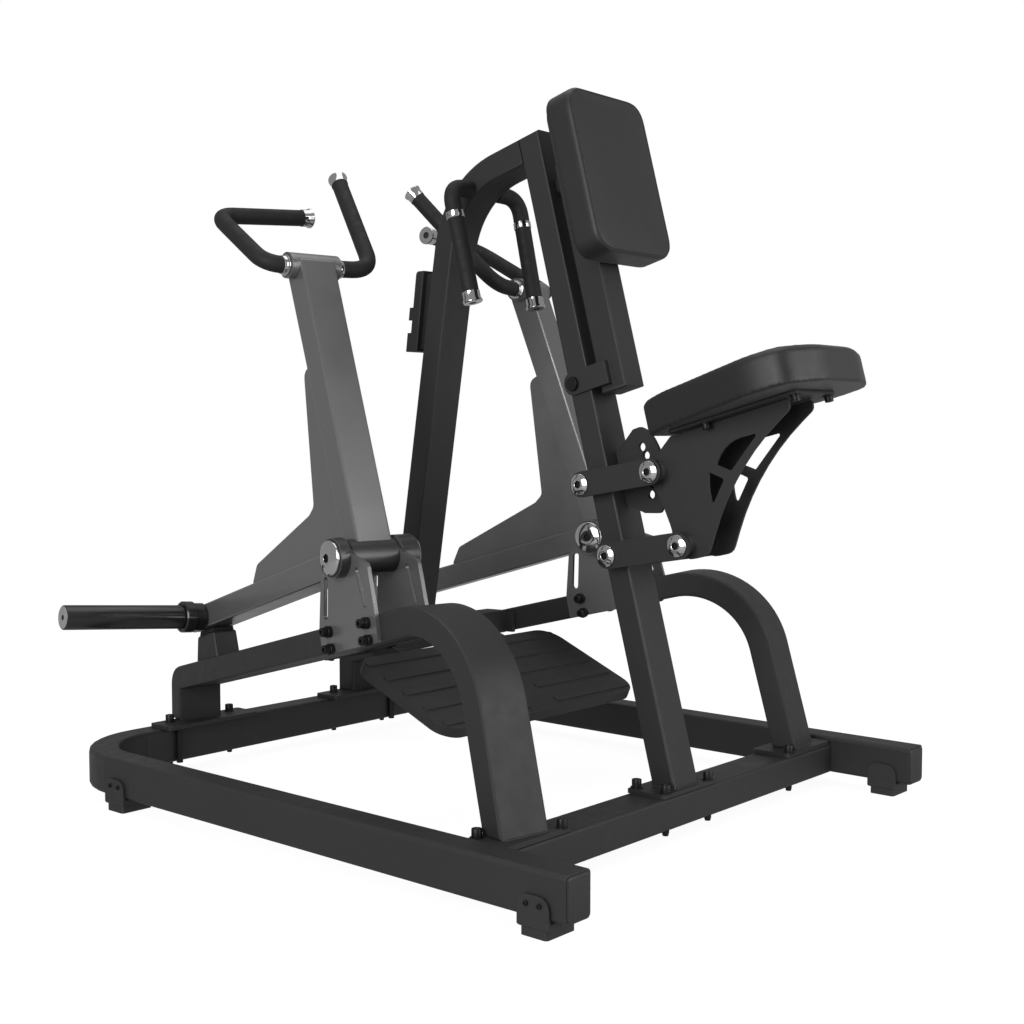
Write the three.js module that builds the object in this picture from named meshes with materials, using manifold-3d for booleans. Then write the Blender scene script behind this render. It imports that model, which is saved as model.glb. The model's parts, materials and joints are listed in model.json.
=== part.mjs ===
// Plate-loaded seated row machine: welded base and arches, leaning mast, two levers,
// chest support and a seat carried by a four-bar linkage.
// Millimetres. +X is the user's right, +Y is the way the user faces, +Z is up.
import * as THREE from 'three';
import { mergeVertices } from 'three/addons/utils/BufferGeometryUtils.js';
import Module from 'manifold-3d';

const wasm = await Module();
wasm.setup();

// ---------------------------------------------------------------- driving dimensions
const radians = THREE.MathUtils.degToRad;
const GAP = 0.3;                       // clearance between pieces that touch
const RUN = 0.5;                       // running clearance of turning pieces
const PLATE = 8;                       // thickness of base plates, pivot plates and links

const RAIL = { outer: 580, inner: 520, low: 27, high: 102, rear: -670, front: 676, corner: 8 };
const BEND_RADIUS = 185;
const REAR_TUBE = { rear: -496, front: -415, high: 86, corner: 6 };
const FOOT = { length: 62, half: 36, sole: 15, tab: 5, tabTop: 64, rearY: -613, frontY: 452, frontSlack: 2 };

const TOE = radians(10);               // each arch turns in by this angle towards the front
const LEVER_X = 350;                   // lever centre plane at Y = 0
const ARCH = { half: 50, top: 390.5, bottom: 339, slope: 0.2466, corner: 6, out: 7, back: 12 };
const FRONT_LEG = { front: 691, rear: 646 };
const REAR_LEG = { outer: -500, inner: -448.2 };

const PIVOT = { s: -33, z: 513 };      // lever pivot in the lever's own plane
const SHAFT = { radius: 20, hub: 32, housing: 36.5, cap: 32, end: 85 };
const LEVER = { half: 38, depth: 50, gusset: 31, top: 1066, armEnd: 612, arm: 481.5, upright: -248.2 };
const ARM_SLOPE = Math.tan(radians(16.2));
const UPRIGHT_SLOPE = Math.tan(radians(20.4));
const BOSS = { s: 168, z: 1053, radius: 25, half: 54 };
const SLEEVE = { s: 560, z: 344, radius: 25, length: 305, tilt: radians(4.4) };
const COLLAR = { stub: 29.5, radius: 33, width: 24, end: 47 };
const GRIP_RADIUS = 16.5;

const LEAN = radians(15);              // the mast leans by this angle
const MAST = { half: 38, front: 445, rear: 495, top: 1227 };
const STRUT = { y: 113, z: 1109, slope: 0.163, depth: 50 };
const CROSSMEMBER = { rear: 188, front: 238, low: 286, high: 336, flange: 9, overhang: 22 };
const TREAD = { half: 292, length: 272, rear: -166, low: 196, slope: radians(22.9), thick: 5, skirt: 20 };

const HOLDER = {
  low: 905, high: 1070, front: 177, slope: 0.13, depth: 22, half: 26, stem: 13, inset: 6, proud: 8,
  steps: [[905, 944], [970, 996]],
};

const CHEST_HINGE = { back: 460, up: 734, pin: 8, ear: 4 };
const CARRIER = { half: 30, front: 510, rear: 567.5, low: 700, high: 1150 };
const CHEST_PAD = { half: 115, low: 930, high: 1245, front: 575, rear: 637, corner: 45, edge: 10 };
const BACKING = { inset: 12, thick: 6.2 };

const LINK = { inner: 62, radius: 24, boss: 19, bolt: 10, cap: 20, rim: 4, dome: 8, crown: 12 };
const UPPER_MAST = [-292, 641];
const LOWER_MAST = [-354, 512];
const UPPER_SEAT = [-448, 667.5];
// The linkage is a parallelogram, so the fourth shaft follows from the other three.
const LOWER_SEAT = [0, 1].map(i => UPPER_SEAT[i] + LOWER_MAST[i] - UPPER_MAST[i]);
const INDEX = { radius: 116, rim: 146, step: 9.1, half: 4, hole: 8 };
const REST_ANGLE = 9.6;                // link angle above the horizontal at rest, in degrees
const PULL_PIN = { radius: 6, barrel: 13, barrelStart: 9, knob: 16, knobLength: 22 };
const BRACKET = { inner: 37, outer: 42 };
const SEAT_PLATE = { half: 70, rear: 925, front: 660, low: 583.8, high: 589.7 };
const SEAT_PAD = { low: 590, high: 656, edge: 10, half: 150, front: 616, rear: 980 };

// ---------------------------------------------------------------- finishes
const finish = (color, roughness, metalness) =>
  () => new THREE.MeshStandardMaterial({ color, roughness, metalness });
const blackPaint = finish(0x2f2f2f, 0.55, 0.2);
const greyPaint = finish(0x6f7072, 0.45, 0.4);
const blackRubber = finish(0x181818, 0.8, 0);
const chrome = finish(0xe2e4e6, 0.12, 1);
const steel = finish(0x9a9c9f, 0.3, 1);
const vinyl = finish(0x202020, 0.6, 0);
const plastic = finish(0x1c1c1c, 0.5, 0);

// ---------------------------------------------------------------- solids and booleans
function toManifold(geometry) {
  const plain = geometry.clone();
  plain.deleteAttribute('normal');
  plain.deleteAttribute('uv');
  const merged = mergeVertices(plain, 1e-4);
  return new wasm.Manifold(new wasm.Mesh({
    numProp: 3,
    vertProperties: new Float32Array(merged.attributes.position.array),
    triVerts: new Uint32Array(merged.index.array),
  }));
}

function toGeometry(manifold) {
  const { vertProperties, triVerts } = manifold.getMesh();
  const geometry = new THREE.BufferGeometry();
  geometry.setAttribute('position', new THREE.BufferAttribute(vertProperties, 3));
  geometry.setIndex(new THREE.BufferAttribute(triVerts, 1));
  const flat = geometry.toNonIndexed();
  flat.computeVertexNormals();
  return flat;
}

function join(...pieces) {
  return toGeometry(pieces.map(toManifold).reduce((whole, piece) => whole.add(piece)));
}

function cut(piece, ...tools) {
  return toGeometry(tools.map(toManifold).reduce((rest, tool) => rest.subtract(tool), toManifold(piece)));
}

// The angle that one straight step of an arc covers: wide arcs take finer steps.
const arcStep = radius => (radius > 100 ? 0.07 : radius > 30 ? 0.2 : 0.4);

// Points of a closed outline; a corner given as [u, v, radius] is rounded by an arc.
function outline(corners) {
  const points = [];
  corners.forEach(([u, v, radius = 0], index) => {
    const here = new THREE.Vector2(u, v);
    if (!radius) {
      points.push(here);
      return;
    }
    const count = corners.length;
    const before = corners[(index + count - 1) % count];
    const after = corners[(index + 1) % count];
    const toBefore = new THREE.Vector2(before[0], before[1]).sub(here).normalize();
    const toAfter = new THREE.Vector2(after[0], after[1]).sub(here).normalize();
    const half = Math.acos(THREE.MathUtils.clamp(toBefore.dot(toAfter), -1, 1)) / 2;
    const middle = toBefore.clone().add(toAfter).normalize();
    const centre = here.clone().addScaledVector(middle, radius / Math.sin(half));
    const start = here.clone().addScaledVector(toBefore, radius / Math.tan(half)).sub(centre);
    const turn = Math.PI - 2 * half;
    const sense = Math.sign(toBefore.cross(toAfter)) > 0 ? -1 : 1;
    const steps = Math.max(2, Math.round(turn / arcStep(radius)));
    for (let i = 0; i <= steps; i += 1) {
      points.push(start.clone().rotateAround(new THREE.Vector2(), sense * turn * i / steps).add(centre));
    }
  });
  return points;
}

function extrude(points, low, high, round, holes = []) {
  const shape = new THREE.Shape(points);
  holes.forEach(hole => shape.holes.push(new THREE.Path(hole)));
  const geometry = new THREE.ExtrudeGeometry(shape, {
    depth: high - low - 2 * round,
    bevelEnabled: round > 0,
    bevelThickness: round,
    bevelSize: round,
    bevelOffset: -round,
    bevelSegments: round > 3 ? 2 : 1,
  });
  return geometry.translate(0, 0, low + round);
}

// A plate or tube whose outline is [Y, Z] points, standing between two X places.
const SIDEWAYS = new THREE.Matrix4().makeBasis(
  new THREE.Vector3(0, 1, 0), new THREE.Vector3(0, 0, 1), new THREE.Vector3(1, 0, 0));
function acrossX(corners, xa, xb, round = 0, holes = []) {
  const plate = extrude(outline(corners), Math.min(xa, xb), Math.max(xa, xb), round, holes.map(outline));
  return plate.applyMatrix4(SIDEWAYS);
}

// A plate whose outline is [X, Y] points, lying between two heights.
function lying(corners, low, high, round = 0, holes = []) {
  return extrude(outline(corners), low, high, round, holes.map(outline));
}

// A tube whose section is [X, Z] points, running between two Y places.
const FORWARDS = new THREE.Matrix4().makeBasis(
  new THREE.Vector3(1, 0, 0), new THREE.Vector3(0, 0, 1), new THREE.Vector3(0, -1, 0));
function alongY(corners, ya, yb, round = 0) {
  return extrude(outline(corners), -Math.max(ya, yb), -Math.min(ya, yb), round).applyMatrix4(FORWARDS);
}

function rectangle(a0, a1, b0, b1, radius = 0) {
  return [[a0, b0, radius], [a1, b0, radius], [a1, b1, radius], [a0, b1, radius]];
}

// A round piece about the X axis through [y, z]; its profile is [radius, x] points from axis to axis.
function roundX(profile, [y, z], sides = 16) {
  const points = profile.map(([radius, along]) => new THREE.Vector2(radius, along));
  return new THREE.LatheGeometry(points, sides).rotateZ(-Math.PI / 2).translate(0, y, z);
}

function rodX(radius, xa, xb, centre, sides = 20) {
  const low = Math.min(xa, xb);
  const high = Math.max(xa, xb);
  return roundX([[0, low], [radius, low], [radius, high], [0, high]], centre, sides);
}

// A round bar along straight runs joined by bends.
function roundBar(points, bend, radius, sides = 10, step = 22) {
  const path = new THREE.CurvePath();
  const places = points.map(p => new THREE.Vector3(...p));
  let from = places[0];
  for (let i = 1; i < places.length - 1; i += 1) {
    const corner = places[i];
    const entry = corner.clone().add(places[i - 1].clone().sub(corner).setLength(bend));
    const leave = corner.clone().add(places[i + 1].clone().sub(corner).setLength(bend));
    path.add(new THREE.LineCurve3(from, entry));
    path.add(new THREE.QuadraticBezierCurve3(entry, corner, leave));
    from = leave;
  }
  path.add(new THREE.LineCurve3(from, places.at(-1)));
  const section = new THREE.Shape();
  section.absarc(0, 0, radius, 0, 2 * Math.PI);
  return new THREE.ExtrudeGeometry(section, {
    extrudePath: path,
    steps: Math.round(path.getLength() / step),
    curveSegments: sides / 2,
  });
}

// ---------------------------------------------------------------- scene graph helpers
const machine = new THREE.Group();

function add(group, name, geometry, material) {
  const mesh = new THREE.Mesh(geometry, material());
  mesh.name = name;
  group.add(mesh);
  return mesh;
}

const SIDES = [['left', -1], ['right', 1]];

// Mast coordinates: back is the distance behind the origin, up runs along the mast.
function fromMast(back, up, radius = 0) {
  const y = -Math.cos(LEAN) * back + Math.sin(LEAN) * up;
  const z = Math.sin(LEAN) * back + Math.cos(LEAN) * up;
  return [y, z, radius];
}

// A side outline that is a rectangle in mast coordinates.
function mastBlock(front, rear, low, high) {
  return [fromMast(rear, low), fromMast(rear, high), fromMast(front, high), fromMast(front, low)];
}

function inMast(geometry) {
  return geometry.rotateX(-LEAN);
}

// ---------------------------------------------------------------- base
function cornerBend(side) {
  const width = RAIL.outer - RAIL.inner;
  const section = new THREE.Shape(outline(rectangle(
    BEND_RADIUS - width, BEND_RADIUS, RAIL.low, RAIL.high, RAIL.corner)));
  const bend = new THREE.ExtrudeGeometry(section, {
    depth: Math.PI / 2, steps: 9, bevelEnabled: false });
  const place = bend.attributes.position;
  for (let i = 0; i < place.count; i += 1) {
    const angle = Math.PI / 2 - place.getZ(i);
    const radius = place.getX(i);
    place.setXYZ(i, radius * Math.cos(angle), radius * Math.sin(angle), place.getY(i));
  }
  if (side < 0) bend.rotateZ(Math.PI / 2);
  return bend.translate(side * (RAIL.outer - BEND_RADIUS), RAIL.front - BEND_RADIUS, 0);
}

// A moulded foot under a rail, with a tab up each side of the tube.
function foot(innerSlack) {
  const half = FOOT.length / 2;
  const side = (RAIL.outer - RAIL.inner) / 2 + GAP;
  const sole = lying(rectangle(2 - FOOT.half, FOOT.half - 2, 5 - half, half - 5, 6), 0, FOOT.sole);
  const block = lying(rectangle(-FOOT.half, FOOT.half, -half, half, 4), FOOT.sole - 1, RAIL.low - GAP, 1.5);
  const base = FOOT.sole + 1;
  const tab = [[-half, base], [half, base], [half, FOOT.tabTop, 20], [-half, FOOT.tabTop, 20]];
  const outer = acrossX(tab, side, side + FOOT.tab);
  const inner = acrossX(tab, -side - innerSlack - FOOT.tab, -side - innerSlack);
  return join(sole, block, outer, inner);
}

function addBase() {
  const { inner, outer, low, high, rear, front, corner } = RAIL;
  const bend = front - BEND_RADIUS;
  const width = outer - inner;
  const barEnd = outer - BEND_RADIUS - GAP;
  for (const [name, side] of SIDES) {
    const xs = [side * inner, side * outer].sort((a, b) => a - b);
    add(machine, `${name}_rail`, alongY(rectangle(...xs, low, high, corner), rear, bend - GAP), blackPaint);
    add(machine, `${name}_corner_bend`, cornerBend(side), blackPaint);
    for (const [place, y, innerSlack] of [['rear', FOOT.rearY, 0], ['front', FOOT.frontY, FOOT.frontSlack]]) {
      const support = add(machine, `${name}_${place}_foot`, foot(innerSlack), plastic);
      support.position.set(side * (outer - width / 2), y, 0);
      support.rotation.z = side < 0 ? Math.PI : 0;
    }
  }
  const tube = acrossX(rectangle(front - width, front, low, high, corner), -barEnd, barEnd);
  add(machine, 'front_crossbar', tube, blackPaint);
  const section = rectangle(REAR_TUBE.rear, REAR_TUBE.front, low, REAR_TUBE.high, REAR_TUBE.corner);
  add(machine, 'rear_crossbar', acrossX(section, -inner + GAP, inner - GAP), blackPaint);
}

// ---------------------------------------------------------------- arches, in their own planes
const archTop = s => ARCH.top - ARCH.slope * s;
const archBottom = s => ARCH.bottom - ARCH.slope * s;

function archOutline() {
  const base = RAIL.high + PLATE;
  const rearBase = REAR_TUBE.high + PLATE;
  const lean = Math.tan(LEAN);
  const legAt = (start, z) => start + lean * z;
  const cross = (start, beamAtZero) => {
    const z = (beamAtZero - ARCH.slope * start) / (1 + ARCH.slope * lean);
    return [legAt(start, z), z];
  };
  return [
    [FRONT_LEG.front, base],
    [FRONT_LEG.front, archTop(FRONT_LEG.front), 45],
    [...cross(REAR_LEG.outer, ARCH.top), 190],
    [legAt(REAR_LEG.outer, rearBase), rearBase],
    [legAt(REAR_LEG.inner, rearBase), rearBase],
    [...cross(REAR_LEG.inner, ARCH.bottom), 140],
    [FRONT_LEG.rear, archBottom(FRONT_LEG.rear)],
    [FRONT_LEG.rear, base],
  ];
}

// A base plate square to the frame, placed inside the turned arch group.
function squarePlate(side, centreX, y0, y1, halfLength, low) {
  const plan = rectangle(centreX - halfLength, centreX + halfLength, y0, y1, 6);
  return lying(plan, low, low + PLATE + RUN).translate(-side * LEVER_X, 0, 0).rotateZ(-side * TOE)
    .translate(-side * ARCH.out, ARCH.back, 0);
}

function arch(side) {
  const tube = acrossX(archOutline(), -ARCH.half, ARCH.half, ARCH.corner);
  const rearTop = REAR_TUBE.high + GAP;
  const rearPlate = squarePlate(side, side * 430, REAR_TUBE.rear + 1, REAR_TUBE.front + 2, 85, rearTop);
  const frontPlate = squarePlate(side, side * 236, 591, 662, 118, RAIL.high + GAP);
  return join(tube, rearPlate, frontPlate);
}

// One of the two plates that carry a lever's shaft; away is 1 outside the arch and -1 inside it.
function pivotPlate(side, away) {
  const face = ARCH.half + GAP;
  const edge = face + PLATE;
  const housingEnd = SHAFT.end - away * ARCH.out;
  const across = distance => side * away * distance;
  const centre = [PIVOT.s + ARCH.back, PIVOT.z];
  const rearSlot = [[-64, 500, 7], [-76, 500, 7], [-109, 430, 7], [-96, 428, 7]];
  const frontSlot = [[22, 474, 7], [36, 474, 7], [38, 395, 7], [24, 395, 7]];
  const body = acrossX([
    [43, 328.5, 4], [53, 377], [47, 470, 10], [24, 502, 12], [centre[0], 544, 30], [-62, 520, 6],
    [-106, 508, 12], [-132, 421], [-140, 373, 4],
  ], across(face), across(edge), 0, [rearSlot, frontSlot]);
  const housing = rodX(SHAFT.housing, across(edge - 2), across(housingEnd), centre, 24);
  const bore = rodX(SHAFT.radius + RUN, across(face - 1), across(housingEnd + 1), centre, 24);
  return cut(join(body, housing), bore);
}

// The post on the arch and the pad on it that each lever's arm rests on.
const PAD_THICK = 11;
function bumperPost() {
  const seat = s => archTop(s + ARCH.back) + GAP;
  const top = s => armBottom(s) - PAD_THICK;
  return acrossX([
    [610, seat(610)], [606, top(606), 6], [534, top(534), 6], [516, seat(516)],
  ], -28, 28, 3);
}

function bumperPad() {
  const low = s => armBottom(s) - PAD_THICK + GAP;
  const high = s => armBottom(s) - GAP - RUN;
  return acrossX([
    [602, low(602)], [598, high(598), 4], [542, high(542), 4], [538, low(538)],
  ], -24, 24);
}

// ---------------------------------------------------------------- levers
const armBottom = s => LEVER.arm - ARM_SLOPE * s;
const armTop = s => armBottom(s) + LEVER.depth * Math.hypot(1, ARM_SLOPE);
const uprightRear = z => LEVER.upright + UPRIGHT_SLOPE * z;
const uprightFront = z => uprightRear(z) + LEVER.depth * Math.hypot(1, UPRIGHT_SLOPE);

function lever(side) {
  const { half, top, armEnd, gusset } = LEVER;
  const pivot = [PIVOT.s, PIVOT.z];
  const low = PIVOT.z - 6;
  const hubSlack = ARCH.half + GAP - RUN;
  const upright = acrossX([
    [uprightRear(low), low], [uprightFront(low), low],
    [uprightFront(top), top - 8, 6], [uprightRear(top - 14), top, 6],
  ], -half, half, 5);
  const arm = acrossX([
    [PIVOT.s, armBottom(PIVOT.s)], [armEnd, armBottom(armEnd)],
    [armEnd, armTop(armEnd), 8], [PIVOT.s, armTop(PIVOT.s)],
  ], -half, half, 5);
  const web = acrossX([
    [uprightFront(870) - 20, 870], [148, 853, 20], [116, 598, 14], [133, 580, 14],
    [336, 472, 14], [352, 436], [350, armTop(350) - 20], [PIVOT.s + 30, PIVOT.z + 10],
  ], -gusset, gusset, 1.5);
  const hub = rodX(SHAFT.hub, side * (ARCH.out - hubSlack), side * (ARCH.out + hubSlack), pivot, 24);
  const boss = rodX(BOSS.radius, -BOSS.half, BOSS.half, [BOSS.s, BOSS.z]);
  const bore = rodX(SHAFT.radius + RUN, -SHAFT.end, SHAFT.end, pivot, 24);
  return cut(join(upright, arm, web, hub, boss), bore);
}

// The shaft through hub and housings, with a domed cap outside each housing.
function pivotShaft() {
  const { radius, cap } = SHAFT;
  const reach = SHAFT.end + RUN;
  const half = [
    [radius, reach], [cap, reach], [cap, reach + 5], [24, reach + 9], [12, reach + 10], [0, reach + 10],
  ];
  const mirrored = half.map(([r, x]) => [r, -x]).reverse();
  return roundX([...mirrored, ...half], [PIVOT.s, PIVOT.z], 24);
}

// The weight sleeve points away from the machine and rises a little towards its tip. Its collar has a
// flat outer face, square to the sleeve, that the innermost weight plate stops against.
function weightSleeve(side) {
  const start = LEVER.half + GAP + 3;
  const tip = 4;
  const inner = COLLAR.end - COLLAR.width;
  const profile = [
    [0, 0], [COLLAR.stub, 0], [COLLAR.stub, inner], [COLLAR.radius, inner],
    [COLLAR.radius, COLLAR.end], [SLEEVE.radius, COLLAR.end],
    [SLEEVE.radius, SLEEVE.length - tip], [SLEEVE.radius - tip, SLEEVE.length], [0, SLEEVE.length],
  ].map(([radius, along]) => new THREE.Vector2(radius, along));
  const sleeve = new THREE.LatheGeometry(profile, 24).rotateZ(-side * Math.PI / 2);
  return sleeve.rotateY(-side * SLEEVE.tilt).translate(side * start, SLEEVE.s, SLEEVE.z);
}

// Grips are written for the right side: +X is the outer side.
function gripBar(side, points, bend) {
  return roundBar(points.map(([x, s, z]) => [side * x, s, z]), bend, GRIP_RADIUS);
}

const OVERHAND_GRIP = [
  [BOSS.half + 1, BOSS.s, BOSS.z], [100, BOSS.s, BOSS.z], [98, 361, 1164], [-118, 365, 1178],
];
const UPRIGHT_GRIP = [[-BOSS.half - 1, BOSS.s, BOSS.z], [-140, BOSS.s, 1056], [-181, 360, 1265]];
const FIXED_GRIP = [[MAST.half + 1.5, 12, 1218], [102, 8, 1216], [95, -47, 988]];

function addLeverSide(name, side) {
  const plane = new THREE.Group();
  plane.position.x = side * LEVER_X;
  plane.rotation.z = side * TOE;
  const archPlane = new THREE.Group();
  archPlane.position.set(side * ARCH.out, -ARCH.back, 0);
  plane.add(archPlane);
  machine.add(plane);
  add(archPlane, `${name}_arch`, arch(side), blackPaint);
  add(archPlane, `${name}_outer_pivot_plate`, pivotPlate(side, 1), greyPaint);
  add(archPlane, `${name}_inner_pivot_plate`, pivotPlate(side, -1), greyPaint);
  add(plane, `${name}_bumper_post`, bumperPost(), blackPaint);
  add(plane, `${name}_bumper_pad`, bumperPad(), blackRubber);
  add(plane, `${name}_lever`, lever(side), greyPaint);
  add(plane, `${name}_pivot_shaft`, pivotShaft(), chrome);
  add(plane, `${name}_weight_sleeve`, weightSleeve(side), blackPaint);
  add(plane, `${name}_overhand_grip`, gripBar(side, OVERHAND_GRIP, 42), blackRubber);
  add(plane, `${name}_upright_grip`, gripBar(side, UPRIGHT_GRIP, 50), blackRubber);
}

// ---------------------------------------------------------------- mast and front strut
const LINK_OUTER = LINK.inner + PLATE;
const CHEST_PIN = [-254, 828];

function mast() {
  const base = REAR_TUBE.high + PLATE - 1;
  const footAt = back => (base - Math.sin(LEAN) * back) / Math.cos(LEAN);
  const tube = acrossX([
    fromMast(MAST.front, footAt(MAST.front)), fromMast(MAST.rear, footAt(MAST.rear)),
    fromMast(MAST.rear, MAST.top), fromMast(MAST.front, MAST.top),
  ], -MAST.half, MAST.half, 5);
  const plate = lying(rectangle(-85, 85, REAR_TUBE.rear + 1, REAR_TUBE.front + 2, 6),
    REAR_TUBE.high + GAP, REAR_TUBE.high + PLATE);
  const bossEnd = LINK.inner - GAP;
  const bosses = [];
  const bores = [];
  for (const centre of [UPPER_MAST, LOWER_MAST]) {
    for (const [, side] of SIDES) {
      bosses.push(rodX(LINK.boss, side * (MAST.half - 6), side * bossEnd, centre));
      bores.push(rodX(LINK.bolt + GAP, side * (MAST.half + 1), side * (bossEnd + 1), centre));
    }
  }
  const pinBore = rodX(CHEST_HINGE.pin + RUN, -MAST.half - 1, MAST.half + 1, CHEST_PIN);
  return cut(join(tube, plate, ...bosses), ...bores, pinBore);
}

// Y of the strut's front face at a height, moved back by inset.
function strutFace(z, inset) {
  return STRUT.y + STRUT.slope * (STRUT.z - z) - inset * Math.hypot(1, STRUT.slope);
}

// Where the strut's face would meet the mast head's underside or top, before its bend.
function strutCorner(inset) {
  const [y0, z0] = fromMast(MAST.front, MAST.top - inset);
  const fall = Math.tan(LEAN);
  const z = (z0 - fall * (strutFace(0, inset) - y0)) / (1 - fall * STRUT.slope);
  return [strutFace(z, inset), z];
}

function frontLeg() {
  const { depth } = STRUT;
  const low = CROSSMEMBER.high + PLATE - 1;
  const tube = acrossX([
    fromMast(MAST.front - GAP, MAST.top), [...strutCorner(0), 210], [strutFace(low, 0), low],
    [strutFace(low, depth), low], [...strutCorner(depth), 160], fromMast(MAST.front - GAP, MAST.top - depth),
  ], -MAST.half, MAST.half, 5);
  const plate = lying(rectangle(-60, 60, CROSSMEMBER.rear - 10, CROSSMEMBER.front + 30, 6),
    CROSSMEMBER.high + GAP, CROSSMEMBER.high + PLATE);
  return join(tube, plate);
}

// Half width between the arches' inner faces at a given Y.
function innerReach(y) {
  const face = ARCH.half + GAP - ARCH.out;
  const startX = LEVER_X - face * Math.cos(TOE);
  const startY = -face * Math.sin(TOE);
  return startX - Math.tan(TOE) * (y - startY);
}

function crossmember() {
  const { rear, front, low, high, flange, overhang } = CROSSMEMBER;
  const back = rear - overhang;
  const ahead = front + overhang;
  const tube = lying([
    [-innerReach(rear) + 2, rear], [innerReach(rear) - 2, rear],
    [innerReach(front) - 2, front], [-innerReach(front) + 2, front],
  ], low, high);
  const plates = SIDES.map(([, side]) => {
    const corners = [
      [side * innerReach(back), back], [side * innerReach(ahead), ahead],
      [side * (innerReach(ahead) - flange), ahead], [side * (innerReach(back) - flange), back],
    ];
    return lying(side > 0 ? corners : corners.reverse(), low + 2, high - 4);
  });
  return join(tube, ...plates);
}

// ---------------------------------------------------------------- foot plate
function footPlate() {
  const { half, length, thick, skirt } = TREAD;
  const wall = 5;
  const rows = 5;
  const rib = { length: 240, half: 8, first: 24, pitch: 55.6, high: 3 };
  const plan = rectangle(-half, half, 0, length, 45);
  const inside = rectangle(-half + wall, half - wall, wall, length - wall, 40);
  const deck = lying(plan, -thick, 0);
  const rim = lying(plan, -skirt, -thick + RUN, 0, [inside]);
  const ribs = [];
  for (const [, side] of SIDES) {
    const middle = side * (half - 12 - rib.length / 2);
    for (let row = 0; row < rows; row += 1) {
      const y = rib.first + row * rib.pitch;
      const ends = [middle - rib.length / 2, middle + rib.length / 2];
      ribs.push(lying(rectangle(...ends, y - rib.half, y + rib.half, 7), -1, rib.high));
    }
  }
  const hangers = SIDES.map(([, side]) => acrossX([
    [length - 60, -40], [length + 90.2, -51], [length + 105.2, -14], [length - 8, -thick + 1],
    [length - 90, -thick + 1],
  ], side * 150, side * (150 + PLATE)));
  return join(deck, rim, ...ribs, ...hangers);
}

// ---------------------------------------------------------------- holder for attachments
// A leaning plate on a narrower stem, with two raised steps across its front.
function accessoryHolder() {
  const { low, high, depth, half, stem, inset, proud, steps } = HOLDER;
  const front = z => HOLDER.front + HOLDER.slope * (high - z);
  const rear = z => front(z) - depth;
  const plate = acrossX([
    [rear(low), low], [front(low), low], [front(high), high, 8], [rear(high), high],
  ], -half, half, 2);
  const raised = steps.map(([from, to]) => acrossX([
    [front(from) - 3, from], [front(from) + proud, from], [front(to) + proud, to], [front(to) - 3, to],
  ], -half, half));
  const [from, to] = [low + inset, high - inset];
  const neck = acrossX([
    [strutFace(from, -GAP), from], [rear(from) + 1, from], [rear(to) + 1, to], [strutFace(to, -GAP), to],
  ], -stem, stem);
  return join(plate, ...raised, neck);
}

// ---------------------------------------------------------------- chest support
function chestCarrier() {
  const { half, front, rear, low, high } = CARRIER;
  const { back, up, pin, ear } = CHEST_HINGE;
  const inner = MAST.half + 1.5;
  const [bottom, top] = [up - 21, up + 23];
  const tube = acrossX(mastBlock(front, rear, low, high), -half, half, 4);
  const ears = SIDES.map(([, side]) => acrossX([
    fromMast(540, bottom), fromMast(540, top), fromMast(back - 22, top, 20), fromMast(back - 22, bottom, 20),
  ], side * inner, side * (inner + ear)));
  const web = acrossX(mastBlock(501, 508, up - 4, top), -inner - 2, inner + 2);
  const bridge = acrossX(mastBlock(507, 540, bottom, top), -inner - 2, inner + 2);
  const bore = rodX(pin + RUN, -inner - ear - 1, inner + ear + 1, CHEST_PIN);
  return cut(join(tube, ...ears, web, bridge), bore);
}

function chestPin() {
  const reach = MAST.half + 6 + GAP;
  const half = [[CHEST_HINGE.pin, reach], [14, reach], [13, reach + 6], [0, reach + 6]];
  const mirrored = half.map(([radius, x]) => [radius, -x]).reverse();
  return roundX([...mirrored, ...half], CHEST_PIN);
}

function chestPad() {
  const { half, low, high, front, rear, corner, edge } = CHEST_PAD;
  return inMast(alongY(rectangle(-half, half, low, high, corner), -rear, -front, edge));
}

function backingPlate() {
  const { half, low, high, front, corner } = CHEST_PAD;
  const { inset, thick } = BACKING;
  const plan = rectangle(inset - half, half - inset, low + inset, high - inset, corner - 10);
  return inMast(alongY(plan, -front + GAP, -front + GAP + thick));
}

// A rubber block on the mast that the chest support's carrier rests on.
function chestBumper() {
  return inMast(alongY(rectangle(-16, 16, 1100, 1132, 8), -CARRIER.front + RUN, -MAST.rear - GAP));
}

// ---------------------------------------------------------------- seat linkage
function link([y0, z0], [y1, z1]) {
  const along = new THREE.Vector2(y1 - y0, z1 - z0).normalize();
  const across = new THREE.Vector2(-along.y, along.x);
  const reach = LINK.radius;
  const corner = (y, z, side, end) => [
    y + along.x * reach * end + across.x * reach * side,
    z + along.y * reach * end + across.y * reach * side, reach - 0.01];
  return [corner(y0, z0, -1, -1), corner(y1, z1, -1, 1), corner(y1, z1, 1, 1), corner(y0, z0, 1, -1)];
}

function linkPlate(side, from, to) {
  const inner = side * LINK.inner;
  const outer = side * LINK_OUTER;
  const plate = acrossX(link(from, to), inner, outer);
  const bores = [from, to].map(centre =>
    rodX(LINK.bolt + GAP, inner - side, outer + side, centre));
  return cut(plate, ...bores);
}

// The head outside a link: a rim and a domed crown.
function capProfile() {
  const face = LINK_OUTER + RUN;
  const dome = LINK_OUTER + LINK.dome;
  return [
    [LINK.bolt, face], [LINK.cap, face], [LINK.cap, face + LINK.rim], [LINK.crown, dome], [0, dome],
  ];
}

// A bolt screwed into a mast boss, holding one link.
function mastBolt(side, centre) {
  const start = MAST.half + 6;
  const profile = [[0, start], [LINK.bolt, start], ...capProfile()].map(([radius, x]) => [radius, side * x]);
  return roundX(side > 0 ? profile : profile.reverse(), centre);
}

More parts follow.
